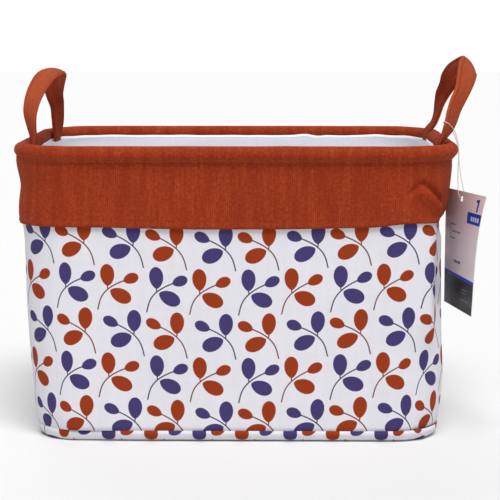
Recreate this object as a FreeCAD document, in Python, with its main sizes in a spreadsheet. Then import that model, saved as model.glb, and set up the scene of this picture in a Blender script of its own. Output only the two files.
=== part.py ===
"""Fabric storage bin: wire rim, rust cuff, printed canvas walls, white liner, two strap handles, hang tag.

Millimetres, +Z up, origin on the floor under the middle of the bin, +X along the long side.
"""
import math
import os

import FreeCAD
import Part
import Sketcher

V = FreeCAD.Vector

# ---------------------------------------------------------------- sizes

SIZES = [
    # rim: the centre line of the cloth casing and the wire inside it
    ("rim_half_x", 183.5), ("rim_half_y", 128.5), ("rim_corner", 48), ("rim_z", 247.5),
    ("casing_radius", 6.5), ("casing_bore", 2.4), ("wire_radius", 2),
    # walls: outer face of the printed canvas at the base seam and at the top
    ("base_half_x", 175), ("base_half_y", 120), ("base_corner", 39.5),
    ("seam_z", 10), ("wall_top_z", 240.6), ("wall_top_x", 180.6), ("wall_cloth", 1.2),
    # cuff hanging outside the walls
    ("cuff_bottom_z", 184), ("cuff_bottom_x", 179.5), ("cuff_top_z", 243.5), ("cuff_top_x", 181.1),
    ("cuff_cloth", 1.2),
    # liner hanging inside the walls
    ("liner_bottom_z", 7.6), ("liner_bottom_x", 173.3), ("liner_top_z", 240.8), ("liner_top_x", 179.1),
    ("liner_cloth", 0.6),
    # base: printed tray, stiff board, liner floor
    ("base_height", 9.8), ("base_edge", 9), ("base_cloth", 1.2),
    ("board_half_x", 166.5), ("board_half_y", 111.5), ("board_corner", 31), ("board_z", 1.5),
    ("board_thick", 3),
    ("floor_half_x", 171), ("floor_half_y", 116), ("floor_corner", 35.5), ("floor_z", 4.7),
    ("floor_cloth", 0.6),
    # strap handles
    ("strap_width", 22), ("strap_thick", 3),
    # hang tag
    ("card_width", 80), ("card_thick", 0.5), ("card_hole", 2.5), ("thread_radius", 0.35),
    ("lock_radius", 2), ("lock_length", 5),
]

# strap edge points, (inner edge), (outer edge), from the seam under the rim upwards;
# the left strap stands upright, the right one leans outwards
LEFT_FRONT_END = [
    ((-173.0, -91, 240), (-174.5, -69, 240)),
    ((-172.3, -91, 249), (-175.2, -69, 249)),
    ((-170.0, -91, 257.5), (-177.0, -70, 257.5)),
    ((-170.6, -89.5, 268), (-179.6, -69.5, 267)),
    ((-170.5, -86.5, 277), (-181.6, -68.5, 277)),
]
LEFT_ARCH = [
    ((-170.5, -86.3, 277.8), (-181.7, -68.3, 277.8)),
    ((-168.5, -76, 288), (-181.8, -63, 288.5)),
    ((-165.5, -62, 296.2), (-180.5, -54, 296)),
    ((-161.8, -45, 303), (-178.3, -42, 303.8)),
    ((-157.5, -24, 307.5), (-174.6, -23, 309.5)),
    ((-154.5, 0, 308), (-172, 0, 310.5)),
]
RIGHT_FRONT_END = [
    ((172.6, -91, 240), (174.4, -69, 240)),
    ((171.8, -91, 250), (173.4, -69, 250)),
    ((176.2, -90.8, 260.5), (183.6, -69.5, 260.5)),
    ((178.9, -89.5, 271.5), (188.9, -68.8, 269.5)),
    ((180.6, -87, 279.5), (192.5, -67.5, 277)),
]
RIGHT_ARCH = [
    ((180.9, -86.7, 280.4), (192.8, -67.3, 277.9)),
    ((184.0, -80, 291), (197.5, -64, 287)),
    ((187.6, -72, 299.5), (201.5, -58.5, 295.5)),
    ((190.3, -58, 309), (206.0, -47, 305.5)),
    ((193.5, -38, 317.5), (209.0, -30, 311)),
    ((201.5, 0, 322.5), (212.5, 0, 308)),
]

# hang tag: far and near ends of the card at four heights, then the thread's route
CARD_LEVELS = [(212.3, 26), (185, 20), (150, 16.5), (111.7, 14.5)]  # height, offset of the near end
CARD_FAR = (182.9, -55)
CARD_REACH = 77.5
HOLE_AT = (193.4, -88.0, 205.8)
LOCK_AT = (197.5, -86.7, 205.8)
THREAD = [
    (195.2, -87.4, 205.8), (190.2, -89.0, 206.2), (189.6, -87.6, 216.0), (189.6, -84.0, 230.0),
    (191.3, -79.0, 246.5), (188.6, -75.5, 260.5), (184.8, -83.5, 266.0), (181.4, -92.6, 270.6),
    (175.4, -93.8, 272.9), (176.2, -84.8, 270.2), (185.2, -65.4, 265.8), (191.4, -69.0, 252.5),
    (192.8, -79.5, 232.0), (195.2, -85.0, 217.5), (197.2, -86.4, 208.7),
]


def value(name):
    """Size from the sheet, in millimetres."""
    return float(sheet.get(name))


# ---------------------------------------------------------------- sketch and feature helpers

def new_body(label):
    body = doc.addObject("PartDesign::Body", label + "_body")
    body.Label = label
    return body


def plane(body, role):
    for item in body.Origin.OriginFeatures:
        if item.Role == role:
            return item
    raise ValueError(role)


def new_sketch(body, name, role):
    sketch = body.newObject("Sketcher::SketchObject", name)
    sketch.AttachmentSupport = [(plane(body, role), "")]
    sketch.MapMode = "FlatFace"
    return sketch


def size_constraint(sketch, constraint, expression):
    index = sketch.addConstraint(constraint)
    sketch.setExpression("Constraints[%d]" % index, expression)


def rounded_rectangle(body, name, half_x, half_y, corner, height=None):
    """Closed rounded rectangle about the origin; the arguments are sheet expressions."""
    a, b, r = (float(sheet.evalExpression(e)) for e in (half_x, half_y, corner))
    sketch = new_sketch(body, name, "XY_Plane")
    if height:
        sketch.setExpression("AttachmentOffset.Base.z", height)
    turn = math.pi / 2
    ring = []
    for k, (sx, sy) in enumerate(((1, -1), (1, 1), (-1, 1), (-1, -1))):
        circle = Part.Circle(V(sx * (a - r), sy * (b - r), 0), V(0, 0, 1), r)
        ring.append(sketch.addGeometry(Part.ArcOfCircle(circle, (k - 1) * turn, k * turn)))
    sides = [
        sketch.addGeometry(Part.LineSegment(V(a, -b + r, 0), V(a, b - r, 0))),
        sketch.addGeometry(Part.LineSegment(V(a - r, b, 0), V(-a + r, b, 0))),
        sketch.addGeometry(Part.LineSegment(V(-a, b - r, 0), V(-a, -b + r, 0))),
        sketch.addGeometry(Part.LineSegment(V(-a + r, -b, 0), V(a - r, -b, 0))),
    ]
    for k in range(4):
        sketch.addConstraint(Sketcher.Constraint("Tangent", ring[k], 2, sides[k], 1))
        sketch.addConstraint(Sketcher.Constraint("Tangent", sides[k], 2, ring[(k + 1) % 4], 1))
    for k in (1, 2, 3):
        sketch.addConstraint(Sketcher.Constraint("Equal", ring[0], ring[k]))
    sketch.addConstraint(Sketcher.Constraint("Symmetric", sides[0], 1, sides[2], 1, -1, 1))
    for k, way in enumerate(("Vertical", "Horizontal", "Vertical", "Horizontal")):
        sketch.addConstraint(Sketcher.Constraint(way, sides[k]))
    size_constraint(sketch, Sketcher.Constraint("DistanceX", -1, 1, sides[0], 1, a), half_x)
    size_constraint(sketch, Sketcher.Constraint("DistanceY", -1, 1, sides[1], 1, b), half_y)
    size_constraint(sketch, Sketcher.Constraint("Radius", ring[0], r), corner)
    return sketch


def rim_path(body, name, side):
    """Half of the rim's centre line: from the right end round the front (-1) or back (+1) to the left end."""
    a, b, r = value("rim_half_x"), value("rim_half_y"), value("rim_corner")
    sketch = new_sketch(body, name, "XY_Plane")
    sketch.setExpression("AttachmentOffset.Base.z", "dims.rim_z")
    turn = math.pi / 2
    right = sketch.addGeometry(Part.LineSegment(V(a, 0, 0), V(a, side * (b - r), 0)))
    arcs = []
    for sx in (1, -1):
        circle = Part.Circle(V(sx * (a - r), side * (b - r), 0), V(0, 0, 1), r)
        first = {(1, -1): 3, (1, 1): 0, (-1, 1): 1, (-1, -1): 2}[(sx, side)] * turn
        arcs.append(sketch.addGeometry(Part.ArcOfCircle(circle, first, first + turn)))
    along = sketch.addGeometry(Part.LineSegment(V(a - r, side * b, 0), V(r - a, side * b, 0)))
    left = sketch.addGeometry(Part.LineSegment(V(-a, side * (b - r), 0), V(-a, 0, 0)))
    near, far = (2, 1) if side < 0 else (1, 2)
    sketch.addConstraint(Sketcher.Constraint("Tangent", right, 2, arcs[0], near))
    sketch.addConstraint(Sketcher.Constraint("Tangent", arcs[0], far, along, 1))
    sketch.addConstraint(Sketcher.Constraint("Tangent", along, 2, arcs[1], near))
    sketch.addConstraint(Sketcher.Constraint("Tangent", arcs[1], far, left, 1))
    sketch.addConstraint(Sketcher.Constraint("Equal", arcs[0], arcs[1]))
    sketch.addConstraint(Sketcher.Constraint("Vertical", right))
    sketch.addConstraint(Sketcher.Constraint("Horizontal", along))
    sketch.addConstraint(Sketcher.Constraint("Vertical", left))
    sketch.addConstraint(Sketcher.Constraint("PointOnObject", right, 1, -1))
    sketch.addConstraint(Sketcher.Constraint("Symmetric", right, 1, left, 2, -2))
    size_constraint(sketch, Sketcher.Constraint("DistanceX", left, 2, right, 1, 2 * a), "2 * dims.rim_half_x")
    first, last = ((along, 1), (-1, 1)) if side < 0 else ((-1, 1), (along, 1))
    size_constraint(sketch, Sketcher.Constraint("DistanceY", *first, *last, b), "dims.rim_half_y")
    size_constraint(sketch, Sketcher.Constraint("Radius", arcs[0], r), "dims.rim_corner")
    return sketch


def cloth_section(body, name, corners):
    """Four-cornered section of a cloth wall in the XZ plane; corners are (x, z) sheet expressions."""
    sketch = new_sketch(body, name, "XZ_Plane")
    points = [V(*(float(sheet.evalExpression(e)) for e in corner), 0) for corner in corners]
    lines = [sketch.addGeometry(Part.LineSegment(points[k], points[(k + 1) % 4])) for k in range(4)]
    for k in range(4):
        sketch.addConstraint(Sketcher.Constraint("Coincident", lines[k], 2, lines[(k + 1) % 4], 1))
    for k in range(4):
        x, z = corners[k]
        size_constraint(sketch, Sketcher.Constraint("DistanceX", -1, 1, lines[k], 1, points[k].x), x)
        size_constraint(sketch, Sketcher.Constraint("DistanceY", -1, 1, lines[k], 1, points[k].y), z)
    return sketch


def ring_section(body, name, radii):
    """Concentric circles on the rim's centre line, in the XZ plane."""
    sketch = new_sketch(body, name, "XZ_Plane")
    middle = V(value("rim_half_x"), value("rim_z"), 0)
    for k, radius in enumerate(radii):
        r = float(sheet.evalExpression(radius))
        sketch.addGeometry(Part.Circle(middle, V(0, 0, 1), r))
        size_constraint(sketch, Sketcher.Constraint("Radius", k, r), radius)
    size_constraint(sketch, Sketcher.Constraint("DistanceX", -1, 1, 0, 3, middle.x), "dims.rim_half_x")
    size_constraint(sketch, Sketcher.Constraint("DistanceY", -1, 1, 0, 3, middle.y), "dims.rim_z")
    for k in range(1, len(radii)):
        sketch.addConstraint(Sketcher.Constraint("Coincident", 0, 3, k, 3))
    return sketch


def pipe(body, name, profile, spine):
    feature = body.newObject("PartDesign::AdditivePipe", name)
    feature.Profile = profile
    feature.Spine = spine
    doc.recompute()
    return feature


def pad(body, name, profile, length):
    feature = body.newObject("PartDesign::Pad", name)
    feature.Profile = profile
    feature.setExpression("Length", length)
    doc.recompute()
    return feature


def round_edges_at(body, name, base, radius, chosen):
    """Fillet on the edges of a feature that the test picks out."""
    edges = ["Edge%d" % (k + 1) for k, e in enumerate(base.Shape.Edges) if chosen(e)]
    feature = body.newObject("PartDesign::Fillet", name)
    feature.Base = (base, edges)
    feature.Radius = float(sheet.evalExpression(radius))
    feature.setExpression("Radius", radius)
    doc.recompute()
    return feature


def cloth_half(label, side, corners, with_casing=False):
    """Half of a cloth ring, front or back, swept round the rim's path."""
    body = new_body(label)
    spine = rim_path(body, label + "_path", side)
    if with_casing:
        rings = ring_section(body, label + "_tube", ("dims.casing_radius", "dims.casing_bore"))
        pipe(body, label + "_casing", rings, spine)
    section = cloth_section(body, label + "_section", corners)
    pipe(body, label + "_wall", section, spine)
    return body


def strap(label, stations, before=(), after=()):
    """Flat strap lofted through its edge points; the stations before and after it set its end planes."""
    body = new_body(label)
    middles = [(V(*inner) + V(*outer)) / 2 for inner, outer in [*before, *stations, *after]]
    sections = []
    for k, (inner, outer) in enumerate(stations):
        here = k + len(before)
        ahead = middles[min(here + 1, len(middles) - 1)] - middles[max(here - 1, 0)]
        ahead.normalize()
        across = V(*outer) - V(*inner)
        across = across - ahead * across.dot(ahead)
        across.normalize()
        sketch = new_sketch(body, "%s_section_%d" % (label, k), "XY_Plane")
        turned = FreeCAD.Rotation(across, ahead.cross(across), ahead, "ZXY")
        sketch.AttachmentOffset = FreeCAD.Placement(middles[here], turned)
        centred_rectangle(sketch, "dims.strap_width", "dims.strap_thick")
        sections.append(sketch)
    loft = body.newObject("PartDesign::AdditiveLoft", label + "_loft")
    loft.Profile = sections[0]
    loft.Sections = sections[1:]
    loft.Ruled = False
    doc.recompute()
    return body


def centred_rectangle(sketch, width, height):
    w, h = (float(sheet.evalExpression(e)) / 2 for e in (width, height))
    points = [V(-w, -h, 0), V(w, -h, 0), V(w, h, 0), V(-w, h, 0)]
    for k in range(4):
        sketch.addGeometry(Part.LineSegment(points[k], points[(k + 1) % 4]))
    for k in range(4):
        sketch.addConstraint(Sketcher.Constraint("Coincident", k, 2, (k + 1) % 4, 1))
    for k, way in enumerate(("Horizontal", "Vertical", "Horizontal", "Vertical")):
        sketch.addConstraint(Sketcher.Constraint(way, k))
    sketch.addConstraint(Sketcher.Constraint("Symmetric", 0, 1, 2, 1, -1, 1))
    size_constraint(sketch, Sketcher.Constraint("DistanceX", 0, 1, 0, 2, 2 * w), width)
    size_constraint(sketch, Sketcher.Constraint("DistanceY", 1, 1, 1, 2, 2 * h), height)


def mirrored(stations):
    """The same stations on the other side of the strap's middle, in running order."""
    return [tuple((x, -y, z) for x, y, z in pair) for pair in stations[::-1]]


def cord_wire(points):
    """Straight runs joined by tangent arcs; returns the wire and the arcs' radii."""
    pts = [V(*p) for p in points]
    edges, radii, start = [], [], pts[0]
    for k in range(1, len(pts) - 1):
        back, ahead = pts[k - 1] - pts[k], pts[k + 1] - pts[k]
        reach = 0.45 * min(back.Length, ahead.Length)
        turn = math.pi - back.getAngle(ahead)
        radii.append(reach / math.tan(turn / 2))
        back.normalize()
        ahead.normalize()
        first, last = pts[k] + back * reach, pts[k] + ahead * reach
        bisector = back + ahead
        bisector.normalize()
        to_centre = radii[-1] / math.cos(turn / 2)
        middle = pts[k] + bisector * (to_centre - radii[-1])
        edges.append(Part.LineSegment(start, first).toShape())
        edges.append(Part.Arc(first, middle, last).toShape())
        start = last
    edges.append(Part.LineSegment(start, pts[-1]).toShape())
    return Part.Wire(edges), radii


# ---------------------------------------------------------------- document and sheet

doc = FreeCAD.newDocument("storage_bin")
sheet = doc.addObject("Spreadsheet::Sheet", "dims")
for row, (name, size) in enumerate(SIZES, start=1):
    sheet.set("A%d" % row, name)
    sheet.set("B%d" % row, str(size))
    sheet.setAlias("B%d" % row, name)
doc.recompute()

parts = []

# ---------------------------------------------------------------- rim, cuff, walls, liner

wire = new_body("rim_wire")
for half, side in (("front", -1), ("back", 1)):
    pipe(wire, "rim_wire_" + half, ring_section(wire, "wire_section_" + half, ("dims.wire_radius",)),
         rim_path(wire, "wire_path_" + half, side))
parts.append(wire)

cuff = [("dims.cuff_bottom_x", "dims.cuff_bottom_z"),
        ("dims.cuff_bottom_x + dims.cuff_cloth", "dims.cuff_bottom_z"),
        ("dims.cuff_top_x + dims.cuff_cloth", "dims.cuff_top_z"), ("dims.cuff_top_x", "dims.cuff_top_z")]
wall = [("dims.base_half_x - dims.wall_cloth", "dims.seam_z"), ("dims.base_half_x", "dims.seam_z"),
        ("dims.wall_top_x", "dims.wall_top_z"), ("dims.wall_top_x - dims.wall_cloth", "dims.wall_top_z")]
lining = [("dims.liner_bottom_x - dims.liner_cloth", "dims.liner_bottom_z"),
          ("dims.liner_bottom_x", "dims.liner_bottom_z"), ("dims.liner_top_x", "dims.liner_top_z"),
          ("dims.liner_top_x - dims.liner_cloth", "dims.liner_top_z")]
for half, side in (("front", -1), ("back", 1)):
    parts.append(cloth_half("band_" + half, side, cuff, with_casing=True))
    parts.append(cloth_half("body_" + half, side, wall))
    parts.append(cloth_half("liner_" + half, side, lining))

# ---------------------------------------------------------------- base

def tray(label, inset, low, edge):
    """Flat-bottomed block with a rounded bottom edge, the printed tray's outside or its hollow."""
    body = new_body(label)
    outline = rounded_rectangle(body, label + "_outline", "dims.base_half_x - " + inset,
                                "dims.base_half_y - " + inset, "dims.base_corner - " + inset, low)
    block = pad(body, label + "_block", outline, "dims.base_height - " + low)
    bottom = float(sheet.evalExpression(low))
    round_edges_at(body, label + "_edge", block, edge, lambda e: e.BoundBox.ZMax < bottom + 0.01)
    return body


base = doc.addObject("Part::Cut", "base_panel_cut")
base.Label = "base_panel"
base.Base = tray("tray_outside", "0", "0", "dims.base_edge")
base.Tool = tray("tray_hollow", "dims.base_cloth", "dims.base_cloth", "dims.base_edge - dims.base_cloth")
doc.recompute()
parts.append(base)

for label, outline, low, thick in (
    ("base_board", ("dims.board_half_x", "dims.board_half_y", "dims.board_corner"), "dims.board_z",
     "dims.board_thick"),
    ("liner_base", ("dims.floor_half_x", "dims.floor_half_y", "dims.floor_corner"), "dims.floor_z",
     "dims.floor_cloth"),
):
    body = new_body(label)
    pad(body, label + "_pad", rounded_rectangle(body, label + "_outline", *outline, low), thick)
    parts.append(body)

# ---------------------------------------------------------------- strap handles

for side, end, arch in (("left", LEFT_FRONT_END, LEFT_ARCH), ("right", RIGHT_FRONT_END, RIGHT_ARCH)):
    whole = arch + mirrored(arch)[1:]
    parts.append(strap("strap_end_%s_front" % side, end, after=arch[1:2]))
    parts.append(strap("strap_end_%s_back" % side, mirrored(end), before=whole[-2:-1]))
    parts.append(strap("handle_" + side, whole, before=end[-2:-1], after=mirrored(end)[1:2]))

# ---------------------------------------------------------------- hang tag

card = new_body("tag_card_sheet")
levels = []
for k, (height, swing) in enumerate(CARD_LEVELS):
    along = V(swing, -CARD_REACH, 0)
    middle = V(*CARD_FAR, height) + along / 2
    along.normalize()
    sketch = new_sketch(card, "card_level_%d" % k, "XY_Plane")
    turned = FreeCAD.Rotation(along, V(0, 0, 1).cross(along), V(0, 0, 1), "ZXY")
    sketch.AttachmentOffset = FreeCAD.Placement(middle, turned)
    centred_rectangle(sketch, "dims.card_width", "dims.card_thick")
    levels.append(sketch)
sheet_loft = card.newObject("PartDesign::AdditiveLoft", "card_loft")
sheet_loft.Profile = levels[0]
sheet_loft.Sections = levels[1:]
sheet_loft.Ruled = False
doc.recompute()
hole = doc.addObject("Part::Cylinder", "card_hole_tool")
hole.setExpression("Radius", "dims.card_hole")
hole.Height = 20
through = V(CARD_REACH, CARD_LEVELS[0][1], 0)
through.normalize()
hole.Placement = FreeCAD.Placement(V(*HOLE_AT) - through * 10, FreeCAD.Rotation(V(0, 0, 1), through))
punched = doc.addObject("Part::Cut", "tag_card_cut")
punched.Base = card
punched.Tool = hole
punched.Label = "tag_card"
parts.append(punched)

lock = doc.addObject("Part::Cylinder", "tag_lock_barrel")
lock.Label = "tag_lock"
lock.setExpression("Radius", "dims.lock_radius")
lock.setExpression("Height", "dims.lock_length")
lock.Placement = FreeCAD.Placement(V(*LOCK_AT) - V(0, 0, value("lock_length") / 2), FreeCAD.Rotation())
parts.append(lock)

route, radii = cord_wire(THREAD)
print("thread bend radii:", " ".join("%.1f" % r for r in radii))
start = route.Edges[0].tangentAt(route.Edges[0].FirstParameter)
ring = Part.Wire([Part.Circle(V(*THREAD[0]), start, value("thread_radius")).toShape()])
thread = doc.addObject("Part::Feature", "tag_thread_tube")
thread.Label = "tag_thread"
thread.Shape = route.makePipeShell([ring], True, False)
print("thread length %.1f, volume %.2f, section x length %.2f" % (
    route.Length, thread.Shape.Volume, math.pi * value("thread_radius") ** 2 * route.Length))
parts.append(thread)

# ---------------------------------------------------------------- checks and files

doc.recompute()
for item in doc.Objects:
    if "Invalid" in item.State or "Error" in item.State:
        raise RuntimeError("%s is %s" % (item.Name, item.State))
os.makedirs("parts", exist_ok=True)
for part in parts:
    shape = part.Shape
    if shape.isNull() or not shape.isValid() or not shape.Solids:
        raise RuntimeError("bad shape: " + part.Label)
    box = shape.BoundBox
    print("%-24s solids %d volume %10.1f  x %.1f..%.1f  y %.1f..%.1f  z %.1f..%.1f" % (
        part.Label, len(shape.Solids), shape.Volume, box.XMin, box.XMax, box.YMin, box.YMax, box.ZMin,
        box.ZMax))
    shape.exportStep("parts/%s.step" % part.Label)
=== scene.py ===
"""Fabric storage bin: wire rim, rust cuff, leaf-print canvas walls, white lining, two straps, hang tag."""
import math

import bmesh
import bpy
from mathutils import Matrix, Vector, noise


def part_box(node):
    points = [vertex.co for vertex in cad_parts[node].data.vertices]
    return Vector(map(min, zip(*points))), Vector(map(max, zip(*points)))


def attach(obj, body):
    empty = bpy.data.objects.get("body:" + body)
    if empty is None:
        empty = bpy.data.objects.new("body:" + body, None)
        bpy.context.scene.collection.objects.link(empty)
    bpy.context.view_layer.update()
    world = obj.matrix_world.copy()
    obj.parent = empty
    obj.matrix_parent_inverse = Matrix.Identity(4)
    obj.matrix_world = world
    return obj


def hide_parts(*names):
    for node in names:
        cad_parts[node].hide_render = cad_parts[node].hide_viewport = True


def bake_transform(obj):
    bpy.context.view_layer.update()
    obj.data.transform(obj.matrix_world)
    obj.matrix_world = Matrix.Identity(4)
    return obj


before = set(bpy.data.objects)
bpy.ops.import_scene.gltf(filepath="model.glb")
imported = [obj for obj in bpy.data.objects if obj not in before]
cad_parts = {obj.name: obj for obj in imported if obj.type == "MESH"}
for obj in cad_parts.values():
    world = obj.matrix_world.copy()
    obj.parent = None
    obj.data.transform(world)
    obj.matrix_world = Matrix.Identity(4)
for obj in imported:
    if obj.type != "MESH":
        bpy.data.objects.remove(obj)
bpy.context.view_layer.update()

# ---------------------------------------------------------------- camera
# A long lens about a metre and a half in front of the bin and a little above its rim, so that the mouth
# shows as a thin white strip between the two straps.

scene = bpy.context.scene
camera = bpy.data.objects.new("camera", bpy.data.cameras.new("camera"))
camera.location = (0.030, -1.5545, 0.3645)
camera.rotation_euler = (math.pi / 2 - 0.1376, 0, 0.0122)
camera.data.sensor_width = 36
camera.data.lens = 124.15
camera.data.clip_start = 0.05
camera.data.clip_end = 60
scene.collection.objects.link(camera)
scene.camera = camera
scene.view_settings.view_transform = "Standard"

# ---------------------------------------------------------------- tag thread
# A loop of clear nylon thread. It runs from its crimped bead up round the front leg of the right strap
# and back down to the bead, and the card hangs on it.

MM = 0.001


def dyed(red, green, blue):
    """Linear colour of a dye given in ordinary display values from 0 to 255."""
    levels = [c / 255 for c in (red, green, blue)]
    linear = [c / 12.92 if c <= 0.04045 else ((c + 0.055) / 1.055) ** 2.4 for c in levels]
    return (*linear, 1)


class Tint:
    """A number or a colour inside a material. Sums on it add Math nodes, and node() adds any other node."""

    def __init__(self, tree, socket=None):
        self.tree = tree
        self.socket = socket

    def node(self, kind, settings=None, sockets=None, out=0):
        made = self.tree.nodes.new("ShaderNode" + kind)
        for name, setting in (settings or {}).items():
            setattr(made, name, setting)
        for name, value in (sockets or {}).items():
            if isinstance(value, Tint):
                self.tree.links.new(value.socket, made.inputs[name])
            else:
                made.inputs[name].default_value = value
        return Tint(self.tree, made.outputs[out])

    def math(self, operation, *others, clamp=False):
        sockets = dict(enumerate((self, *others)))
        return self.node("Math", {"operation": operation, "use_clamp": clamp}, sockets)

    def __add__(self, other):
        return self.math("ADD", other)

    __radd__ = __add__

    def __mul__(self, other):
        return self.math("MULTIPLY", other)

    __rmul__ = __mul__

    def __sub__(self, other):
        return self.math("SUBTRACT", other)

    def __rsub__(self, other):
        return self.math("MULTIPLY_ADD", -1.0, other)

    def __truediv__(self, other):
        return self.math("DIVIDE", other)

    def __pow__(self, other):
        return self.math("POWER", other)

    def clamped(self):
        return self.math("ADD", 0.0, clamp=True)

    def floor(self):
        return self.math("FLOOR")

    def size(self):
        return self.math("ABSOLUTE")

    def most(self, other):
        return self.math("MAXIMUM", other)

    def wave(self, length):
        """Sine of this distance, one turn in the given length."""
        return (self * (2 * math.pi / length)).math("SINE")

    def over(self, under, mask):
        """This colour laid over another where the mask is 1."""
        return self.node("Mix", {"data_type": "RGBA"}, {0: mask, 6: under, 7: self}, out=2)

    def shaded(self, share):
        """This colour made lighter or darker by a share around 1."""
        grey = self.node("CombineColor", None, {0: share, 1: share, 2: share})
        return self.node("Mix", {"data_type": "RGBA", "blend_type": "MULTIPLY"}, {0: 1.0, 6: self, 7: grey},
                         out=2)

    def cloudy(self, scale, detail=2.0, stretch=(1, 1, 1)):
        """Soft noise from 0 to 1 read at this place, stretched along its axes."""
        read = self.node("Mapping", None, {"Vector": self, "Scale": stretch})
        return self.node("TexNoise", None, {"Vector": read, "Scale": scale, "Detail": detail})

    def flat(self, colour):
        """A plain colour to lay over or under others."""
        made = self.node("RGB")
        made.socket.default_value = colour
        return made

    def raised(self, height, depth):
        """Normal of a surface pressed up by a height between 0 and 1, depth in metres."""
        return self.node("Bump", None, {"Height": height, "Distance": depth, "Strength": 1.0})


def new_finish(name, **constants):
    """A material with its shader; constants are socket names in lower case with underscores."""
    material = bpy.data.materials.new(name)
    material.use_nodes = True
    tree = material.node_tree
    shader = tree.nodes["Principled BSDF"]
    for key, value in constants.items():
        shader.inputs[key.replace("_", " ").title().replace("Ior", "IOR")].default_value = value
    return material, Tint(tree), shader


def dress(tint, shader, **looks):
    """Links what varies over the surface to the shader."""
    for key, value in looks.items():
        tint.tree.links.new(value.socket, shader.inputs[key.replace("_", " ").title()])


def wear(piece, material):
    piece.data.materials.clear()
    piece.data.materials.append(material)
    return piece


THREAD = [
    (195.2, -87.4, 205.8), (190.2, -89.0, 206.2), (189.6, -87.6, 216.0), (189.6, -84.0, 230.0),
    (191.3, -79.0, 246.5), (188.6, -75.5, 260.5), (184.8, -83.5, 266.0), (181.0, -92.6, 270.2),
    (175.9, -93.8, 272.4), (176.6, -84.8, 270.2), (185.2, -65.4, 265.8), (190.6, -69.0, 252.5),
    (191.6, -79.5, 232.0), (193.4, -85.0, 217.5), (195.8, -86.4, 208.7),
]
thread_line = bpy.data.curves.new("tag_thread_loop", "CURVE")
thread_line.dimensions = "3D"
thread_line.resolution_u = 10
thread_line.bevel_depth = 0.35 * MM
thread_line.bevel_resolution = 3
thread_line.use_fill_caps = True
run = thread_line.splines.new("NURBS")
run.points.add(len(THREAD) - 1)
for point, (x, y, z) in zip(run.points, THREAD):
    point.co = (x * MM, y * MM, z * MM, 1)
run.order_u = 3
run.use_endpoint_u = True
tag_thread = bpy.data.objects.new("tag_thread_loop", thread_line)
scene.collection.objects.link(tag_thread)

nylon, tint, shader = new_finish("nylon_thread", base_color=dyed(226, 222, 220), roughness=0.28, ior=1.53,
                                 transmission_weight=0.35)
place = tint.node("TexCoord", out="Object")
dress(tint, shader, roughness=place.cloudy(900) * 0.2 + 0.2,
      normal=tint.raised(place.cloudy(1600), 0.00003))
wear(tag_thread, nylon)
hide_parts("tag_thread")
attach(tag_thread, "bin")

# ---------------------------------------------------------------- tag bead
# The moulded bead that the thread's two ends are crimped into, just behind the punched hole: a short
# rounded barrel with a squeezed waist.


def finished(bm, name, smooth=True):
    """A piece from a mesh worked in millimetres, in metres, at the origin, linked into the scene."""
    bmesh.ops.scale(bm, vec=(MM, MM, MM), verts=bm.verts)
    mesh = bpy.data.meshes.new(name)
    for face in bm.faces:
        face.smooth = smooth
    bm.to_mesh(mesh)
    bm.free()
    piece = bpy.data.objects.new(name, mesh)
    scene.collection.objects.link(piece)
    return piece


bead_low, bead_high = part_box("tag_lock")
bead_middle = (bead_low + bead_high) / 2 / MM
bead_radius = (bead_high.x - bead_low.x) / 2 / MM
bead_length = (bead_high.z - bead_low.z) / MM
bm = bmesh.new()
bmesh.ops.create_cone(bm, cap_ends=True, segments=20, radius1=bead_radius * 0.86, radius2=bead_radius * 0.86,
                      depth=bead_length * 0.94)
uprights = [e for e in bm.edges if abs(e.verts[0].co.z - e.verts[1].co.z) > 1]
bmesh.ops.subdivide_edges(bm, edges=uprights, cuts=5)
for vert in bm.verts:
    squeeze = 1 - 0.22 * math.exp(-(vert.co.z / 1.0) ** 2)
    vert.co.x *= squeeze
    vert.co.y *= 0.5 + 0.5 * squeeze
ends = [e for e in bm.edges if abs(abs(e.verts[0].co.z) - bead_length * 0.47) < 0.01
        and abs(e.verts[0].co.z - e.verts[1].co.z) < 0.01]
bmesh.ops.bevel(bm, geom=ends, offset=0.45, segments=3, affect="EDGES", profile=0.5, material=-1)
bmesh.ops.translate(bm, vec=bead_middle, verts=bm.verts)
tag_bead = finished(bm, "tag_bead")
moulded, tint, shader = new_finish("bead_plastic", base_color=dyed(222, 205, 204), roughness=0.35,
                                   subsurface_weight=0.15)
place = tint.node("TexCoord", out="Object")
dress(tint, shader, roughness=place.cloudy(700) * 0.2 + 0.26, normal=tint.raised(place.cloudy(500), 0.00008))
wear(tag_bead, moulded)
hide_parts("tag_lock")
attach(tag_bead, "bin")

tag_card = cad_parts["tag_card"]

# ---------------------------------------------------------------- tag card
# Coated card, pale grey and slightly curled, with a plain generic layout: a numeral, a blue label block,
# a line frame, a rule across and a dark foot. Its back is plain board.

CARD_FAR = (182.9, -55)
CARD_WAY = Vector((26, -77.5)).normalized()
card_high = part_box("tag_card")[1]
card, tint, shader = new_finish("coated_card", roughness=0.3, ior=1.5, specular_ior_level=0.6)
place = tint.node("TexCoord", out="Object")


def split(tint, vector):
    return [tint.node("SeparateXYZ", None, {0: vector}, out=k) for k in range(3)]


x, y, z = split(tint, place)
across = (x / MM - CARD_FAR[0]) * CARD_WAY.x + (y / MM - CARD_FAR[1]) * CARD_WAY.y
down = card_high.z / MM - z / MM


def bar(left, top, right, bottom, lean=0.0):
    """Mask of a printed bar on the card, in millimetres from its far top corner."""
    inside = across - down * lean
    return ((inside - left) * 9).clamped() * ((right - inside) * 9).clamped() * \
        ((down - top) * 9).clamped() * ((bottom - down) * 9).clamped()


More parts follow.
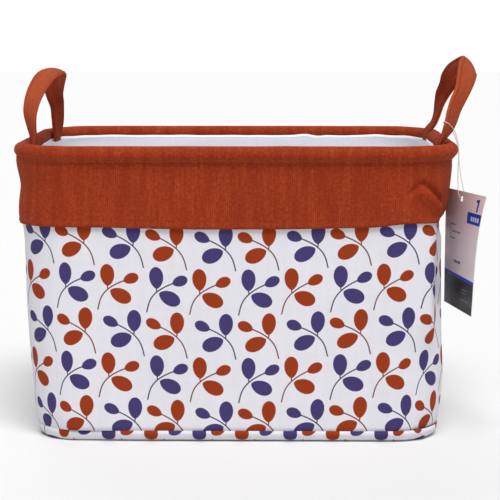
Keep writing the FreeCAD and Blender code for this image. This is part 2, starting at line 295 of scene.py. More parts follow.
fibre = place.cloudy(260, 4)
# Painted shade: the card is darkened and tinged red towards its far top corner beside the cuff, and lightens
# towards its near edge and foot.
card_painted_shade = ((down + across * 0.6) / 150 + 0.1).clamped()
face = tint.flat(dyed(240, 236, 242)).over(tint.flat(dyed(222, 186, 188)), card_painted_shade)
face = tint.flat(dyed(20, 62, 168)).over(face, bar(50.5, 15.6, 81, 25.2))
for left in (58.5, 63.2, 67.9, 72.6):
    face = tint.flat(dyed(205, 214, 236)).over(face, bar(left, 18.8, left + 3.4, 22.6))
numeral = bar(68.9, 3.6, 72.0, 14.4, -0.12).most(bar(65.6, 4.2, 69.4, 6.4, -0.12))
face = tint.flat(dyed(24, 58, 140)).over(face, numeral)
frame_line = bar(13.5, 29.2, 25.5, 42.2) * (1 - bar(14.6, 30.2, 26, 41.2))
face = tint.flat(dyed(96, 84, 92)).over(face, frame_line)
for left, width in ((18.5, 5.6), (25.2, 4.4), (31.0, 6.5)):
    face = tint.flat(dyed(104, 92, 102)).over(face, bar(left, 34.9, left + width, 36.5))
for left, width in ((24.5, 3.0), (28.4, 4.2), (33.3, 2.4), (36.5, 5.2)):
    face = tint.flat(dyed(48, 56, 92)).over(face, bar(left, 59.5, left + width, 62.0))
foot_line = down - across * 0.02
foot = ((foot_line - 73.2) * 9).clamped()
face = tint.flat(dyed(14, 14, 17)).over(face, foot)
face = tint.flat(dyed(18, 52, 178)).over(face, ((foot_line - 70.4) * 9).clamped() * (1 - foot))
for left, top, width in ((47, 81.5, 16), (47, 84.5, 12), (47, 90.5, 9), (60, 90.5, 8)):
    face = tint.flat(dyed(120, 120, 128)).over(face, bar(left, top, left + width, top + 1.0))
facing = tint.node("NewGeometry", out="True Normal")
seen = tint.node("VectorMath", {"operation": "DOT_PRODUCT"}, {0: facing, 1: (CARD_WAY.y, -CARD_WAY.x, 0)},
                 out="Value")
board_grey = tint.flat(dyed(214, 208, 200)).shaded(fibre * 0.2 + 0.9)
printed = face.shaded(fibre * 0.08 + 0.96)
dress(tint, shader, base_color=printed.over(board_grey, ((seen - 0.5) * 9).clamped()),
      roughness=fibre * 0.25 + 0.22, normal=tint.raised(fibre, 0.00004))
wear(tag_card, card)

# ---------------------------------------------------------------- stiff board
# Grey pressed board that lies in the base between the printed canvas and the lining. It keeps the bottom
# flat and can't be seen once the lining is in.

board, tint, shader = new_finish("pressed_board", roughness=0.85)
place = tint.node("TexCoord", out="Object")
flecks = place.cloudy(420, 5)
dress(tint, shader, base_color=tint.flat(dyed(134, 122, 106)).shaded(flecks * 0.5 + 0.75),
      normal=tint.raised(flecks, 0.0002))
wear(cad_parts["base_board"], board)

# ---------------------------------------------------------------- base panel
# The bottom of the bin is one piece of the printed canvas. It lies flat under the board, turns up round
# the edge and is seamed to the walls a centimetre above the floor.

panel_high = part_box("base_panel")[1]
PANEL_X = panel_high.x / MM
PANEL_Y = panel_high.y / MM
PANEL_CORNER = 39.5
PANEL_EDGE = 9
PANEL_SEAM = 0.9
PANEL_SHIFT = 23
CANVAS_THICK = 1.2


def laid_out(x, y, half_x, half_y, corner):
    """A point of the square from -1 to 1, spread over a rectangle with rounded corners; also its way out."""
    ring = max(abs(x), abs(y), 1e-6)
    flat = Vector((x * half_x, y * half_y))
    core = Vector([max(-ring * (h - corner), min(ring * (h - corner), c))
                   for h, c in ((half_x, flat.x), (half_y, flat.y))])
    out = flat - core
    if out.length < 1e-6:
        return flat, Vector((0, 0)), ring
    out.normalize()
    return core + out * ring * corner, out, ring


def cloth_grid(columns, rows):
    bm = bmesh.new()
    bmesh.ops.create_grid(bm, x_segments=columns, y_segments=rows, size=1)
    return bm


def canvas_coordinates(bm, read):
    """UV map in metres on the cloth, from a function of the grid vertex."""
    layer = bm.loops.layers.uv.new("weave")
    for face in bm.faces:
        for loop in face.loops:
            loop[layer].uv = Vector(read(loop.vert.co)) * MM


def thicken(piece, thickness, offset=-1.0):
    """Gives a sheet its thickness, inwards unless the offset says otherwise."""
    solid = piece.modifiers.new("thickness", "SOLIDIFY")
    solid.thickness = thickness * MM
    solid.offset = offset
    solid.use_even_offset = False
    return piece


def outward(bm, inside):
    """Turns a sheet so that its faces look away from the middle point."""
    bm.normal_update()
    middle = Vector(inside)
    away = sum(1 if (f.calc_center_median() - middle).dot(f.normal) > 0 else -1 for f in bm.faces)
    if away < 0:
        bmesh.ops.reverse_faces(bm, faces=bm.faces)


FLAT_SHARE = 0.9
bm = cloth_grid(110, 80)
inner_x, inner_y = PANEL_X - PANEL_EDGE, PANEL_Y - PANEL_EDGE
turn_up = PANEL_EDGE * math.pi / 2 + PANEL_SEAM


def panel_cloth(co):
    spot, out, ring = laid_out(co.x, co.y, inner_x, inner_y, PANEL_CORNER - PANEL_EDGE)
    share = min(1, ring / FLAT_SHARE)
    past = max(0, ring - FLAT_SHARE) / (1 - FLAT_SHARE) * turn_up
    return spot * (share / ring), out, past


def panel_flat(co):
    spot, out, past = panel_cloth(co)
    flat = spot + out * past
    return flat.x + PANEL_SHIFT, flat.y


canvas_coordinates(bm, panel_flat)
for vert in bm.verts:
    spot, out, past = panel_cloth(vert.co)
    angle = min(past / PANEL_EDGE, math.pi / 2)
    above = max(0, past - PANEL_EDGE * math.pi / 2)
    pucker = 0.35 * noise.noise(Vector((spot.x, spot.y, 3)) * 0.06) * math.sin(angle)
    crushed = 4 * math.sin(angle) * math.exp(-((spot - Vector((-PANEL_X, -PANEL_Y))).length / 55) ** 2)
    vert.co = (*(spot + out * (PANEL_EDGE * math.sin(angle) + pucker - crushed)),
               PANEL_EDGE * (1 - math.cos(angle)) + above)
outward(bm, (0, 0, 40))
base_panel = thicken(finished(bm, "base_panel_canvas"), CANVAS_THICK)

PURPLE = dyed(66, 55, 106)
RUST_INK = dyed(148, 52, 16)
CANVAS = dyed(222, 220, 227)


def printed_canvas(name):
    """Natural canvas screen-printed with rows of three-leaved sprigs, rust and purple by turns."""
    column, row = 38.75, 37.9
    row_z, mirrored_at, upright_at, stagger = 166.2, -8.2, 29.6, 2.5
    material, tint, shader = new_finish(name, roughness=0.9, sheen_weight=0.03, sheen_roughness=0.6,
                                        specular_ior_level=0.15)
    cloth = tint.node("UVMap", {"uv_map": "weave"})
    u, v, _ = split(tint, cloth)
    u, v = u / MM, v / MM
    bleed = (cloth.cloudy(1500, 2) - 0.5) * 0.5

    def sprig_space(low, left):
        """Place inside the sprig's own cell, whose window starts low below and left of its joint."""
        line = ((v - row_z - low) / row).floor()
        mirrored = 1 - (line - (line / 2).floor() * 2)
        along = u * (1 - 2 * mirrored) + mirrored * (mirrored_at - upright_at) + upright_at
        count = ((along - left) / column).floor()
        odd = count - (count / 2).floor() * 2
        rust = 1 - (odd - mirrored).size()
        return along - count * column - odd * stagger, v - row_z - line * row, rust

    def leaf(x, y, middle, turn, length, width):
        """Egg-shaped leaf, pointed at its stalk and round at its tip."""
        turn = math.radians(turn)
        x, y = x - middle[0], y - middle[1]
        along = (x * math.cos(turn) + y * math.sin(turn)) / (length / 2)
        side = (y * math.cos(turn) - x * math.sin(turn)).size()
        swell = (1 - along).most(0) * (1 + along).most(0) ** 1.25 * 0.973
        return (((swell ** 0.5) * (width / 2) - side + bleed) * 2.5).clamped()

    x, y, rust = sprig_space(-15.5, -9.5)
    leaves = leaf(x, y, (-0.4, 12.0), 92, 18.8, 12.4)
    leaves = leaves.most(leaf(x, y, (10.6, -4.8), -24, 19.0, 12.8))
    leaves = leaves.most(leaf(x, y, (19.4, 10.2), 24, 13.6, 9.4))
    leaf_ink = tint.flat(RUST_INK).over(tint.flat(PURPLE), rust)
    x, y, rust = sprig_space(-20, -11.5)
    bend = x - y * 1.146 - y * y * 0.05975 - y * y * y * 0.001291
    slope = ((y * 0.1195 + y * y * 0.003873 + 1.146) ** 2 + 1) ** 0.5
    span = ((y + 18.2) * 3).clamped() * ((9.4 - y) * 3).clamped()
    stem = ((0.72 - (bend / slope).size() + bleed * 0.4) * 3).clamped() * span
    stub = ((0.7 - (x + y * 0.15).size()) * 3).clamped() * ((y + 0.2) * 3).clamped() * ((5 - y) * 3).clamped()
    stem_ink = tint.flat(dyed(110, 56, 42)).over(tint.flat(dyed(60, 52, 78)), rust)

    slub = cloth.cloudy(170, 3, (1, 0.06, 1)) * 0.6 + cloth.cloudy(170, 3, (0.06, 1, 1)) * 0.4
    threads = (u.wave(0.9) * v.wave(0.9)) * 0.5 + 0.5
    mottle = cloth.cloudy(900, 3)
    colour = tint.flat(CANVAS).shaded(slub * 0.16 + threads * 0.05 + 0.9)
    colour = stem_ink.shaded(mottle * 0.5 + 0.75).over(colour, stem.most(stub))
    colour = leaf_ink.shaded(mottle * 0.55 + threads * 0.12 + 0.68).over(colour, leaves)
    dress(tint, shader, base_color=colour, roughness=slub * 0.16 + 0.8,
          normal=tint.raised(threads * 0.6 + slub * 0.8, 0.00016))
    return material


canvas = printed_canvas("printed_canvas")
wear(base_panel, canvas)
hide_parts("base_panel")
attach(base_panel, "bin")

# ---------------------------------------------------------------- printed walls
# Two lengths of printed canvas, front and back, joined at the side seams and sewn to the base panel. They
# hang from the rim, so they bow a little, and the right front corner has slumped into a fold.

wire_low, wire_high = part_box("rim_wire")
WIRE_RADIUS = 2
RIM_X = wire_high.x / MM - WIRE_RADIUS
RIM_Y = wire_high.y / MM - WIRE_RADIUS
RIM_Z = (wire_low.z + wire_high.z) / 2 / MM
CORNERS = {-1: 48, 1: 54}
SEAM_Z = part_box("body_front")[0].z / MM
WALL_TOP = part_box("body_front")[1].z / MM
WALL_BASE_IN = PANEL_X - RIM_X
WALL_TOP_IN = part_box("body_front")[1].x / MM - RIM_X


def half_girth(side):
    """Distance along the rim's centre line from the middle of the front or back to the side seam."""
    corner = CORNERS[side]
    return RIM_X - corner + corner * math.pi / 2 + RIM_Y - corner


def on_rim(side, along):
    """Point on the rim's centre line and the way out of the bin there."""
    corner, way = CORNERS[side], 1 if along > 0 else -1
    past = abs(along) - (RIM_X - corner)
    if past <= 0:
        return Vector((along, side * RIM_Y)), Vector((0, side))
    angle = past / corner
    if angle < math.pi / 2:
        out = Vector((way * math.sin(angle), side * math.cos(angle)))
        return Vector((way * (RIM_X - corner), side * (RIM_Y - corner))) + out * corner, out
    spot = side * (RIM_Y - corner - (past - corner * math.pi / 2))
    return Vector((way * RIM_X, spot)), Vector((way, 0))


def hump(value, middle, width):
    return math.exp(-((value - middle) / width) ** 2)


def ease(value, start, end):
    share = max(0, min(1, (value - start) / (end - start)))
    return share * share * (3 - 2 * share)


def from_line(along, z, start, end):
    """Signed distance above a crease from start to end, and how far along it from 0 to 1."""
    line = Vector(end) - Vector(start)
    away = Vector((along, z)) - Vector(start)
    share = away.dot(line) / line.length_squared
    return line.normalized().cross(away), share


def slump(side, along, z):
    """How far the soft walls stand out of their cut shape, in millimetres, at a place on the girth."""
    place = Vector((along * 0.011, z * 0.008, side * 7))
    stand = 1.3 * noise.noise(place) + 0.5 * noise.noise(place * 2.7)
    stand *= ease(z, 4, 40) * (1 - 0.5 * ease(z, 185, 235))
    if side < 0:
        left = hump(along, -196, 42)
        stand += left * (3.4 * ease(z, 12, 90) + 1.1 * hump(z, 192, 13) - 1.9 * hump(z, 218, 10)
                         + 1.0 * hump(z, 240, 7))
        right = hump(along, 218, 30)
        stand += right * (3.6 * hump(z, 48, 34) - 3.4 * hump(z, 166, 40) - 3.2 * hump(z, 185, 8)
                          + 1.0 * ease(z, 205, 235))
        stand -= 3.0 * hump(along, 203, 15) * hump(z, 187, 8)
        fold = 6.0 * ease(z, 60, 110) * (1 - 0.45 * ease(z, 180, 205)) * (1 - ease(z, 210, 232))
        stand += fold * math.exp(-((along - 166) / (15 if along < 166 else 12)) ** 2)
        stand -= 2.6 * ease(z, 70, 115) * (1 - ease(z, 186, 200)) * hump(along, 188, 9)
        stand += 1.2 * ease(z, 80, 110) * (1 - ease(z, 176, 190)) * math.exp(-abs(along - 166) / 4)
        stand -= (4.2 if along < 0 else 2.6) * hump(z, 6, 13) * hump(abs(along), 178, 34)
        above, share = from_line(along, z, (157, 222.7), (178.5, 205.2))
        held = ease(share, -0.12, 0.12) * (1 - ease(share, 0.86, 1.25))
        stand -= 4.6 * held * math.exp(-(above / (3.6 if above > 0 else 1.1)) ** 2)
        stand += 3.2 * held * hump(above, -7, 5.5)
        above, share = from_line(along, z, (157, 222.5), (145, 212.5))
        held = ease(share, -0.15, 0.1) * (1 - ease(share, 0.5, 1.4))
        stand -= 2.6 * held * math.exp(-(above / (1.3 if above > 0 else 3.0)) ** 2)
    else:
        stand += 2.2 * hump(abs(along), 190, 40) * ease(z, 20, 90)
        stand += 1.2 * hump(along, 60, 80) * hump(z, 90, 60)
    return stand * (1 - ease(z, 239, 243.5))


def seam_tuck(side, along):
    """How far the cloth's edge turns in at the side seam."""
    return 1.5 * hump(half_girth(side) - abs(along), 0, 2.2)


def hung(side, along, offset, z, soft=1.0):
    """A point of the hanging cloth, offset outwards from the rim's centre line."""
    spot, out = on_rim(side, along)
    stand = slump(side, along, z) * soft - seam_tuck(side, along)
    return Vector((*(spot + out * (offset + stand)), z))


BACK_SHIFT = 17.5


def bow(along):
    """The print is cut a little bowed: its rows lie lower in the middle of a panel."""
    return 3.1 * (1 - math.cos(math.pi * along / 165))


def hang_cloth(name, side, height, step, section, thickness, lift=0.0, start=0.0):
    """A length of cloth hung round the front or back half of the rim.

    section gives the outward offset and the height above the floor for a distance up the cloth."""
    girth = half_girth(side)
    bm = cloth_grid(round(2 * girth / step), round(height / step))
    canvas_coordinates(bm, lambda co: ((BACK_SHIFT if side > 0 else 0) - side * co.x * girth,
                                       start + (co.y + 1) / 2 * height - lift * bow(co.x * girth)))
    for vert in bm.verts:
        along, up = vert.co.x * girth, (vert.co.y + 1) / 2 * height
        offset, z = section(along, up)
        vert.co = hung(side, along, offset, z)
    bm.normal_update()
    test = min(bm.faces, key=lambda f: abs(f.calc_center_median().x) + abs(f.calc_center_median().z - 120))
    if test.normal.y * side < 0:
        bmesh.ops.reverse_faces(bm, faces=bm.faces)
    return thicken(finished(bm, name), thickness)


WALL_STEP = 3.4
wall_height = WALL_TOP - SEAM_Z


def wall_section(along, up):
    z = SEAM_Z + up
    share = up / wall_height
    tuck = 0.4 * math.exp(-up / 1.6)
    under_cuff = 0.5 * ease(z, 186, 194)
    return WALL_BASE_IN + (WALL_TOP_IN - WALL_BASE_IN) * share - tuck - under_cuff, z


for side, where in ((-1, "front"), (1, "back")):
    wall = hang_cloth("wall_" + where, side, wall_height, WALL_STEP, wall_section, CANVAS_THICK, 1.0, SEAM_Z)
    wear(wall, canvas)
    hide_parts("body_" + where)
    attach(wall, "bin")
    2 * half_girth(side) * MM

# ---------------------------------------------------------------- lining
# Thin white lining hung inside the walls and seamed to its own floor. Its folded top edge is stitched
# over the inside of the cuff, just under the rolled rim, and ripples a little between the stitches.

LINING_THICK = 0.6
LINING_TOP = RIM_Z - 2.3
FLOOR_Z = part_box("liner_base")[1].z / MM
lining_height = LINING_TOP - FLOOR_Z


def ripple(side, along):
    """How far the lining's top edge wanders up and down."""
    wander = 0.8 * noise.noise(Vector((along * 0.045, side * 3, 2)))
    if side > 0:
        wander += 1.3 * hump(along, 62, 8) - 1.1 * hump(along, 76, 6) + 0.9 * hump(along, 136, 12)
    return wander


def lining_section(side):
    def section(along, up):
        share = up / lining_height
        z = FLOOR_Z + up + ripple(side, along) * share ** 6
        inward = WALL_BASE_IN - 2.1 + (WALL_TOP_IN - WALL_BASE_IN) * share
        gather = -1.6 * math.exp(-up / 2.5) - 0.4 * noise.noise(Vector((along * 0.02, up * 0.015, 9 + side)))
        edge = -1.3 * ease(up, lining_height - 13, lining_height - 3)
        return inward + gather + edge, z
    return section


def white_lining(name):
    """Thin plain-woven white cloth with a faint blue cast."""
    material, tint, shader = new_finish(name, roughness=0.8, sheen_weight=0.15)
    cloth = tint.node("UVMap", {"uv_map": "weave"})
    u, v, _ = split(tint, cloth)
    threads = ((u / MM).wave(0.7) * (v / MM).wave(0.7)) * 0.5 + 0.5
    slub = cloth.cloudy(220, 3, (1, 0.08, 1))
    crumple = cloth.cloudy(28, 3)
    dress(tint, shader, base_color=tint.flat(dyed(242, 242, 248)).shaded(slub * 0.06 + crumple * 0.06 + 0.93),
          roughness=slub * 0.1 + 0.74,
          normal=tint.raised(threads * 0.25 + slub * 0.3 + crumple * 2.2, 0.00035))
    return material


lining_cloth = white_lining("white_lining")
for side, where in ((-1, "front"), (1, "back")):
    lining = hang_cloth("lining_" + where, side, lining_height, WALL_STEP, lining_section(side), LINING_THICK)
    wear(lining, lining_cloth)
    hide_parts("liner_" + where)
    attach(lining, "bin")
    2 * half_girth(side) * MM

bm = cloth_grid(96, 66)
floor_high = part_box("liner_base")[1]
FLOOR_CORNER = 35.5
canvas_coordinates(bm, lambda co: laid_out(co.x, co.y, floor_high.x / MM, floor_high.y / MM, FLOOR_CORNER)[0])
for vert in bm.verts:
    spot, out, ring = laid_out(vert.co.x, vert.co.y, floor_high.x / MM, floor_high.y / MM, FLOOR_CORNER)
    crease = 0.5 * noise.noise(Vector((*spot, 0)) * 0.02)
    crease += 0.3 * noise.noise(Vector((*spot, 8)) * 0.05)
    vert.co = (*spot, FLOOR_Z + max(0, 0.35 + crease) * (1 - ring ** 8))
outward(bm, (0, 0, -500))
lining_floor = thicken(finished(bm, "lining_floor"), LINING_THICK)
wear(lining_floor, lining_cloth)
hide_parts("liner_base")
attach(lining_floor, "bin")

# ---------------------------------------------------------------- rim wire
# Spring wire bent to the rim's shape and closed by its casing. It is inside the cuff's fold, out of sight.

wire, tint, shader = new_finish("spring_wire", base_color=dyed(150, 150, 152), metallic=1.0)
place = tint.node("TexCoord", out="Object")
dress(tint, shader, roughness=place.cloudy(600, 3, (1, 1, 6)) * 0.3 + 0.25)
wear(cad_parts["rim_wire"], wire)

# ---------------------------------------------------------------- cuff
# Two lengths of rust rib cloth, front and back. Each hangs outside the walls to its hem, is stitched
# through under the rim, and rolls over the wire to make the casing.

CUFF_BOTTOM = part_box("band_front")[0].z / MM
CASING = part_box("band_front")[1].z / MM - RIM_Z
CUFF_THICK = 1.2
GROOVE = Vector((0.2, RIM_Z - 7.9))
HEM_IN = -1.7
groove_reach = Vector((GROOVE.x, GROOVE.y - RIM_Z))
groove_turn = math.atan2(groove_reach.y, groove_reach.x) + math.acos(CASING / groove_reach.length)
slant_end = Vector((CASING * math.cos(groove_turn), RIM_Z + CASING * math.sin(groove_turn)))
slant = (slant_end - GROOVE).length
fall = GROOVE.y - CUFF_BOTTOM
roll = CASING * (math.radians(236) - groove_turn)
cuff_height = fall + slant + roll


def hem_rise(side, along):
    """The hem rides a little higher towards the corners, most at the slumped one."""
    rise = 1.6 * ease(abs(along), 30, 130)
    if side < 0:
        rise += 3.4 * ease(along, 110, 150) * (1 - 0.6 * ease(along, 206, 240)) + 1.5 * hump(along, 203, 14)
    return rise


def cuff_section(side):
    def section(along, up):
        if up < fall:
            share = up / fall
            z = CUFF_BOTTOM + up + hem_rise(side, along) * (1 - share) ** 2
            lip = 0.35 * hump(up, 3.0, 1.6) - 0.3 * hump(up, 5.2, 0.9)
            pinch = -0.9 * math.exp(-(fall - up) / 2.2)
            return HEM_IN + (GROOVE.x + 0.6 - HEM_IN) * share + lip + pinch, z
        if up < fall + slant:
            spot = GROOVE.lerp(slant_end, (up - fall) / slant)
            return spot.x, spot.y
        angle = groove_turn + (up - fall - slant) / CASING
        plump = 0.3 * noise.noise(Vector((along * 0.035, angle * 0.6, side * 5)))
        return (CASING - 0.2 + plump) * math.cos(angle), RIM_Z + (CASING - 0.2 + plump) * math.sin(angle)
    return section


RUST = dyed(146, 49, 20)
RUST_FLECK = dyed(186, 88, 44)
# Painted shade: the darker rust of the strap's under face.
RUST_SHADED_UNDERSIDE = dyed(144, 45, 15)
UNDER_U = 60
UNDER_FROM = 40


def rust_cloth(name, colour, rib=1.75, seam=None):
    """Matte rust-dyed cloth with a fine uneven rib along its length.

    A seam is stitched that far from the middle, and past UNDER_FROM, on the strap's under face, the cloth
    takes the darker RUST_SHADED_UNDERSIDE as painted shade."""
    material, tint, shader = new_finish(name, roughness=0.92, sheen_weight=0.06, sheen_roughness=0.45,
                                        sheen_tint=dyed(236, 160, 120), specular_ior_level=0.15)
    cloth = tint.node("UVMap", {"uv_map": "weave"})
    u, v, _ = split(tint, cloth)
    u, v = u / MM, v / MM
    wander = cloth.cloudy(60, 2) * 1.4
    ribs = (u + wander).wave(rib) * 0.5 + 0.5
    strong = cloth.cloudy(130, 2, (1, 0.12, 1))
    fuzz = cloth.cloudy(1500, 3)
    worn = cloth.cloudy(24, 3)
    mottle = cloth.cloudy(380, 2)
    rows = v.wave(0.8) * 0.5 + 0.5
    shade = ribs * strong * 0.5 + fuzz * 0.6 + mottle * 0.4 + worn * 0.2 + rows * 0.04 + 0.2
    cloth_colour = tint.flat(colour)
    if seam:
        # Painted shade on the strap's under face, which the strap marks by shifting u past UNDER_FROM.
        under = ((u - UNDER_FROM) * 5).clamped()
        cloth_colour = tint.flat(RUST_SHADED_UNDERSIDE).over(cloth_colour, under)
        line = ((0.7 - ((u - under * UNDER_U).size() - seam).size()) * 2).clamped()
        shade = shade * (1 - line * 0.3)
    warm = tint.flat(RUST_FLECK).over(cloth_colour, (mottle * strong * 2.4 - 0.45).clamped() * 0.5)
    dress(tint, shader, base_color=warm.shaded(shade), roughness=fuzz * 0.12 + 0.84,
          normal=tint.raised(ribs * strong * 0.9 + fuzz * 0.5 + rows * 0.12, 0.00034))
    return material


rust = rust_cloth("rust_cloth", RUST)
for side, where, step in ((-1, "front", 1.55), (1, "back", 2.3)):
    cuff = hang_cloth("cuff_" + where, side, cuff_height, step, cuff_section(side), CUFF_THICK)
    wear(cuff, rust)
    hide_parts("band_" + where)
    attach(cuff, "bin")
    2 * half_girth(side) * MM

# ---------------------------------------------------------------- stitching
# Lockstitch rows in polyester thread: the casing row under the rim, the hem row on the cuff, the row that
# holds the lining's top edge. Each stitch is a short plump bead lying on the cloth.


def stitch_run(places, length, radius):
    """Stitches laid along a list of (point, direction, way out), in millimetres."""
    bm = bmesh.new()
    for point, way, out in places:
        made = bmesh.ops.create_uvsphere(bm, u_segments=6, v_segments=4, radius=1)
        side = out.cross(way).normalized()
        turned = Matrix((side * radius, out * radius * 0.8, way.normalized() * length / 2)).transposed()
        bmesh.ops.transform(bm, matrix=Matrix.Translation(point) @ turned.to_4x4(), verts=made["verts"])
    bmesh.ops.recalc_face_normals(bm, faces=bm.faces)
    return bm


STITCH_PITCH = 3.2
STITCH_LENGTH = 2.3
STITCH_RADIUS = 0.33
ROW_END = 3
HEM_ROW = 5.2


def row_on_cloth(side, section, up, lift):
    """Stitch places round one half of the bin, at a distance up the cloth."""
    run_out = half_girth(side) - ROW_END
    places = []
    for k in range(int(2 * run_out / STITCH_PITCH)):
        along = -run_out + (k + 0.5) * STITCH_PITCH
        offset, z = section(along, up)
        here = hung(side, along, offset + lift, z)
        ahead = hung(side, along + 1, offset + lift, section(along + 1, up)[1])
        out = on_rim(side, along)[1]
        places.append((here, ahead - here, Vector((*out, 0))))
    return places


sewing, tint, shader = new_finish("rust_thread", roughness=0.6, sheen_weight=0.2)
place = tint.node("TexCoord", out="Object")
dress(tint, shader, base_color=tint.flat(dyed(132, 46, 22)).shaded(place.cloudy(1500) * 0.4 + 0.8))
white_sewing, tint, shader = new_finish("grey_thread", roughness=0.6)
place = tint.node("TexCoord", out="Object")
dress(tint, shader, base_color=tint.flat(dyed(222, 221, 229)).shaded(place.cloudy(1500) * 0.4 + 0.8))

for side, where in ((-1, "front"), (1, "back")):
    rows = (
        ("casing_stitches_", cuff_section(side), fall - 0.9, 0.25, sewing, "rust_cloth"),
        ("hem_stitches_", cuff_section(side), HEM_ROW, 0.0, sewing, "rust_cloth"),
        ("lining_stitches_", lining_section(side), lining_height - 2.2, -0.75, white_sewing, "white_lining"),
    )
    for label, section, up, lift, thread, slot in rows:
        places = row_on_cloth(side, section, up, lift)
        stitches = finished(stitch_run(places, STITCH_LENGTH, STITCH_RADIUS), label + where)
        wear(stitches, thread)
        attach(stitches, "bin")

# ---------------------------------------------------------------- straps
# Each strap is one strip of the rust cloth folded to four layers and edge-stitched. Its ends are sewn
# inside the rim; the left strap stands up and the right one leans out over the side.

STRAP_WIDTH = 22
STRAP_THICK = 3
OUTSIDE = {"left": 1, "right": -1}
STATION_STEPS = 7
# stations from a strap's front end over the top to its back end: inner edge, outer edge, how far it cups
STRAPS = {
    "left": [
        ((-173.0, -91, 240), (-174.5, -69, 240), 0), ((-172.3, -91, 249), (-175.2, -69, 249), 0),
        ((-170.0, -91, 257.5), (-176.8, -70, 257.5), 0.5),
        ((-170.2, -89.5, 268), (-179.6, -69.8, 267), 1.0),
        ((-169.6, -86.2, 277.6), (-182.6, -68.8, 278), 1.0),
        ((-167.2, -76.5, 288.3), (-182.8, -61.5, 288.6), 0.8),
        ((-164.4, -62.5, 296.4), (-182.0, -50.0, 297.0), 0.4),
        ((-161.0, -45.5, 304.0), (-180.2, -36.5, 304.6), -0.4),
        ((-158.0, -27, 308.6), (-178.6, -22, 309.8), -1.6),
        ((-155.4, 0, 310.7), (-176.2, 0, 312.6), -2.6), ((-156.2, 21, 308.0), (-177.6, 18, 310.0), -1.8),
        ((-159.2, 40, 302.8), (-179.6, 34, 304.0), -0.4), ((-163.0, 60, 295.0), (-181.2, 49, 295.6), 1.2),
        ((-165.4, 72, 287.2), (-180.4, 57.5, 288.0), 1.6),
        ((-166.2, 79.5, 280.6), (-178.8, 62, 281.4), 0.4),
        ((-166.8, 84, 274.0), (-176.6, 64.6, 274.5), 0.4), ((-167.6, 88, 265), (-176.2, 68, 265), 0.3),
        ((-169.2, 90.4, 256), (-175.6, 69.6, 256), 0), ((-171.6, 91, 249), (-174.4, 69.4, 249), 0),
        ((-172.2, 91, 242.5), (-173.9, 69, 242.5), 0),
    ],
    "right": [
        ((172.6, -91, 240), (174.4, -69, 240), 0), ((171.4, -91, 248.5), (174.2, -69, 249), 0),
        ((173.4, -91, 256.0), (180.6, -69.7, 257.2), 0),
        ((175.8, -90.5, 263.5), (185.6, -69.9, 263.0), 0),
        ((177.9, -89.2, 271.8), (189.3, -69.6, 270.2), 0.2),
        ((179.9, -86.4, 281), (192.8, -67.6, 279.0), 0.4), ((183.4, -81, 291), (198.0, -63.6, 288), 0.6),
        ((187.6, -74, 299.3), (202.4, -57.6, 295), 0.7),
        ((190.4, -61, 308.4), (207.4, -45.8, 303.0), 0.8),
        ((193.6, -42, 316.8), (211.2, -28, 308.4), 1.4), ((197.4, -20, 322.0), (213.2, -12, 307.8), 2.2),
        ((202.0, 0, 325.8), (214.0, 3, 307.2), 2.6), ((196.8, 22, 321.6), (212.0, 15, 306.4), 2.4),
        ((192.4, 45, 315.6), (208.4, 33, 305.2), 1.4), ((189.6, 64, 307.0), (204.6, 49, 300.6), 1.0),
        ((188.8, 74, 298.5), (201.0, 57, 293.2), 0.6), ((186.2, 81.6, 288.4), (196.4, 63, 285.4), 0.8),
        ((185.8, 86.6, 279), (191.4, 66.2, 276.6), 0.6),
        ((185.4, 89.6, 268.5), (188.0, 68.2, 267.4), 0.2),
        ((183.0, 90.8, 260.4), (184.6, 69.2, 259.6), 0), ((178.2, 91, 254.8), (181.0, 69.4, 254.2), 0),
        ((175.6, 91, 249), (179.0, 69.2, 249), 0), ((175.4, 91, 243.5), (178.4, 69, 243.5), 0),
    ],
}


def smooth_run(points):
    """The same run of vectors with a smooth bend through every point."""
    run = []
    for k in range(len(points) - 1):
        before, here, there, after = (points[max(0, min(len(points) - 1, k + j))] for j in (-1, 0, 1, 2))
        for step in range(STATION_STEPS):
            t = step / STATION_STEPS
            bend = (2 * before - 5 * here + 4 * there - after) * t ** 2
            twist = (3 * here - before - 3 * there + after) * t ** 3
            run.append(0.5 * (2 * here + (there - before) * t + bend + twist))
    run.append(points[-1])
    return run


def strap_course(name):
    """Middle, reach to the outer edge, way out of the cloth and cup at close stations along a strap."""
    inner = smooth_run([Vector(a) for a, b, cup in STRAPS[name]])
    outer = smooth_run([Vector(b) for a, b, cup in STRAPS[name]])
    cups = smooth_run([Vector((cup, 0, 0)) for a, b, cup in STRAPS[name]])
    middles = [(a + b) / 2 for a, b in zip(inner, outer)]
    course = []
    for k, middle in enumerate(middles):
        run = middles[min(k + 1, len(middles) - 1)] - middles[max(k - 1, 0)]
        reach = (outer[k] - inner[k]) / 2
        course.append((middle, reach, run.cross(reach).normalized(), cups[k].x))
    return course


def strap_section(across, over, cup):
    """Where a point of the flat section lies when the strap cups and its folded edges plump up."""
    share = across / (STRAP_WIDTH / 2)
    plump = 1 + 0.14 * hump(abs(share), 0.9, 0.1) - 0.3 * hump(abs(share), 0.78, 0.07)
    return across, over * plump + cup * (share * share - 0.4)


def folded_strip():
    """The strap's rounded section as one flat piece, across in x and through its layers in y."""
    bm = bmesh.new()
    bmesh.ops.create_grid(bm, x_segments=20, y_segments=1, size=1)
    bmesh.ops.scale(bm, vec=(STRAP_WIDTH / 2, STRAP_THICK / 2, 1), verts=bm.verts)
    sides = [e for e in bm.edges if e.is_boundary and abs(e.verts[0].co.x) > STRAP_WIDTH / 2 - 0.01
             and abs(e.verts[1].co.x) > STRAP_WIDTH / 2 - 0.01]
    bmesh.ops.subdivide_edges(bm, edges=sides, cuts=3)
    for vert in bm.verts:
        reach = abs(vert.co.x) - (STRAP_WIDTH / 2 - 1.2)
        if reach > 0:
            vert.co.y *= math.sqrt(max(0.12, 1 - (reach / 1.28) ** 2))
            vert.co.x -= math.copysign(0.5 * (abs(vert.co.y) / (STRAP_THICK / 2)) ** 2, vert.co.x)
    return bm


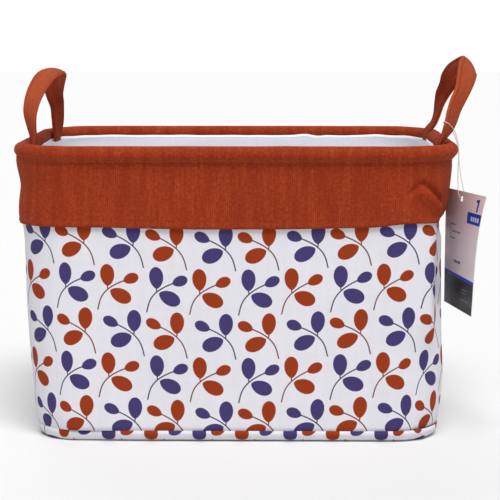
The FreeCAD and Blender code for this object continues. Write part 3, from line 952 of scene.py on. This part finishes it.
def place_section(verts, shape, station):
    middle, reach, over, cup = station
    for vert, at in zip(verts, shape):
        across, up = strap_section(at.x, at.y, cup)
        vert.co = middle + reach * (across * 2 / STRAP_WIDTH) + over * up


def loft_strap(name, course):
    """A closed strip, made by extruding its section from station to station."""
    bm = folded_strip()
    layer = bm.loops.layers.uv.new("weave")
    first = list(bm.verts)
    shape = [v.co.copy() for v in first]
    ring = [e for e in bm.edges if e.is_boundary]
    place_section(first, shape, course[0])
    lookup = dict(zip(first, shape))
    travelled = dict.fromkeys(first, 0.0)
    gone = 0.0
    for k in range(1, len(course)):
        gone += (course[k][0] - course[k - 1][0]).length
        made = bmesh.ops.extrude_edge_only(bm, edges=ring)
        fresh = [g for g in made["geom"] if isinstance(g, bmesh.types.BMVert)]
        ring = [g for g in made["geom"] if isinstance(g, bmesh.types.BMEdge)
                and g.verts[0] in fresh and g.verts[1] in fresh]
        for vert in fresh:
            old = next(e.other_vert(vert) for e in vert.link_edges if e.other_vert(vert) in lookup
                       and e.other_vert(vert) not in fresh)
            lookup[vert] = lookup[old]
            travelled[vert] = gone
        place_section(fresh, [lookup[v] for v in fresh], course[k])
    bmesh.ops.holes_fill(bm, edges=ring, sides=0)
    for face in bm.faces:
        # Under-side faces get u shifted by UNDER_U, so the cloth paints them with the darker rust, painted
        # shade.
        under = sum(lookup[v].y for v in face.verts) * OUTSIDE[name] < 0
        for loop in face.loops:
            at = lookup[loop.vert]
            loop[layer].uv = Vector((at.x + at.y * 0.5 + UNDER_U * under, travelled[loop.vert])) * MM
    bmesh.ops.recalc_face_normals(bm, faces=bm.faces)
    return bm


# Painted light: the straps' outer face is a lighter rust than the cuff, as if lit, and the under face a
# darker one, painted shade.
strap_cloth = rust_cloth("strap_cloth", dyed(160, 66, 36), 1.5, STRAP_WIDTH / 2 - 2.4)
HINGES = {"left": "loop_left", "right": "loop_right"}
for name, body in HINGES.items():
    course = strap_course(name)
    strap = finished(loft_strap(name, course), "strap_" + name)
    wear(strap, strap_cloth)
    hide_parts("handle_" + name, "strap_end_%s_front" % name, "strap_end_%s_back" % name)
    hinge = (course[0][0] + course[-1][0]) / 2 * MM
    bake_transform(strap)

# ---------------------------------------------------------------- floor and light
# A plain pale sweep in an even white studio, a large soft key light high above the camera and a weaker one
# behind the bin.

bm = bmesh.new()
bmesh.ops.create_grid(bm, x_segments=1, y_segments=1, size=9000)
sweep = finished(bm, "floor", smooth=False)
paper, tint, shader = new_finish("white_sweep", base_color=dyed(222, 222, 222), roughness=0.9)
wear(sweep, paper)

world = bpy.data.worlds.new("studio")
world.use_nodes = True
studio = Tint(world.node_tree)
walls = studio.node("Background", None, {"Color": (1, 1, 1, 1), "Strength": 0.37})
backdrop = studio.node("Background", None, {"Color": (1, 1, 1, 1), "Strength": 1.0})
seen = studio.node("LightPath")
lit = studio.node("MixShader", None, {0: seen, 1: walls, 2: backdrop})
world.node_tree.links.new(lit.socket, world.node_tree.nodes["World Output"].inputs["Surface"])
scene.world = world


def soft_sun(name, from_way, spread, power):
    lamp = bpy.data.lights.new(name, "SUN")
    lamp.angle = math.radians(spread)
    lamp.energy = power
    made = bpy.data.objects.new(name, lamp)
    made.rotation_euler = Vector(from_way).to_track_quat("Z", "Y").to_euler()
    scene.collection.objects.link(made)


soft_sun("key_light", (0.1, -0.5, 1.0), 34, 3.0)
soft_sun("back_light", (-0.2, 0.9, 0.8), 40, 0.6)

# ---------------------------------------------------------------- last update

bpy.context.view_layer.update()
